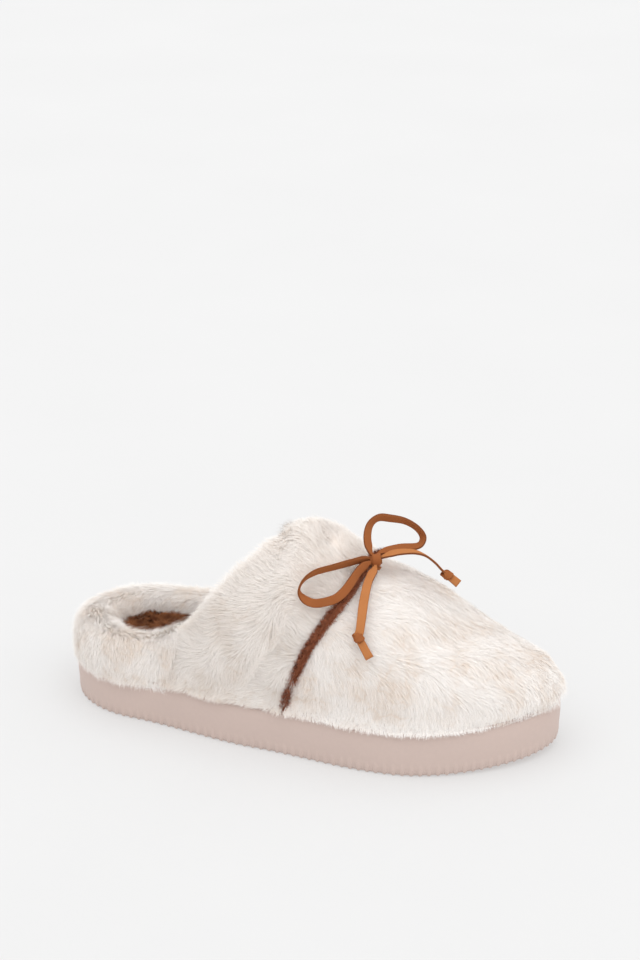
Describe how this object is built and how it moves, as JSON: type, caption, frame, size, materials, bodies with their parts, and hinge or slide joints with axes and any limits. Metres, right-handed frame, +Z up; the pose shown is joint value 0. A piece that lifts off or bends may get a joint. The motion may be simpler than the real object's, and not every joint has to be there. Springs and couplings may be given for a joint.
{
  "type": "house slipper",
  "caption": "Backless house slipper in cream faux fur on a pale platform sole, with a brown plush seam and a suede lace bow.",
  "frame": {"origin": "middle of the resting face's bounding box, on the floor", "axes": "+X towards the toe, +Y towards the inner side of the foot, +Z up"},
  "size_m": [0.2669, 0.0983, 0.1168],
  "materials": {
    "sole_rubber": "matte",
    "rand": "matte",
    "foam": "matte",
    "board": "matte",
    "brown_plush": "matte",
    "cream_fur": "matte",
    "lining": "matte",
    "suede": "matte"
  },
  "bodies": {
    "slipper": {"outsole": "sole_rubber", "midsole_foam": "foam", "rand_strip": "rand", "insole_board": "board", "footbed_foam": "foam", "sock_liner": "brown_plush", "toe_panel": "cream_fur", "instep_panel": "cream_fur", "seam_piping": "brown_plush", "toe_padding": "foam", "instep_padding": "foam", "toe_puff": "board", "vamp_lining": "lining", "topline_tape": "lining", "heel_collar": "cream_fur", "collar_foam": "foam", "heel_counter": "board", "bow_stay": "suede", "bow_knot": "suede"},
    "left_loop": {"bow_loop_left": "suede"},
    "right_loop": {"bow_loop_right": "suede"},
    "front_tail": {"lace_tail_front": "suede", "tail_knot_front": "suede"},
    "right_tail": {"lace_tail_right": "suede", "tail_knot_right": "suede"}
  },
  "joints": [
    {"name": "left_loop_lift", "type": "hinge", "parent": "slipper", "child": "left_loop", "pos_m": [0.0365, -0.002, 0.0975], "axis": [-0.8821, 0.4711, 0], "range_deg": [0, 45]},
    {"name": "right_loop_lean", "type": "hinge", "parent": "slipper", "child": "right_loop", "pos_m": [0.0365, -0.002, 0.0975], "axis": [0.8601, -0.5101, 0], "range_deg": [-10, 25]},
    {"name": "front_tail_lift", "type": "hinge", "parent": "slipper", "child": "front_tail", "pos_m": [0.0365, -0.002, 0.0975], "axis": [-0.9604, -0.2601, 0.1], "range_deg": [0, 40]},
    {"name": "right_tail_lift", "type": "hinge", "parent": "slipper", "child": "right_tail", "pos_m": [0.0365, -0.002, 0.0975], "axis": [0.3697, -0.9292, 0], "range_deg": [-12, 6]}
  ]
}
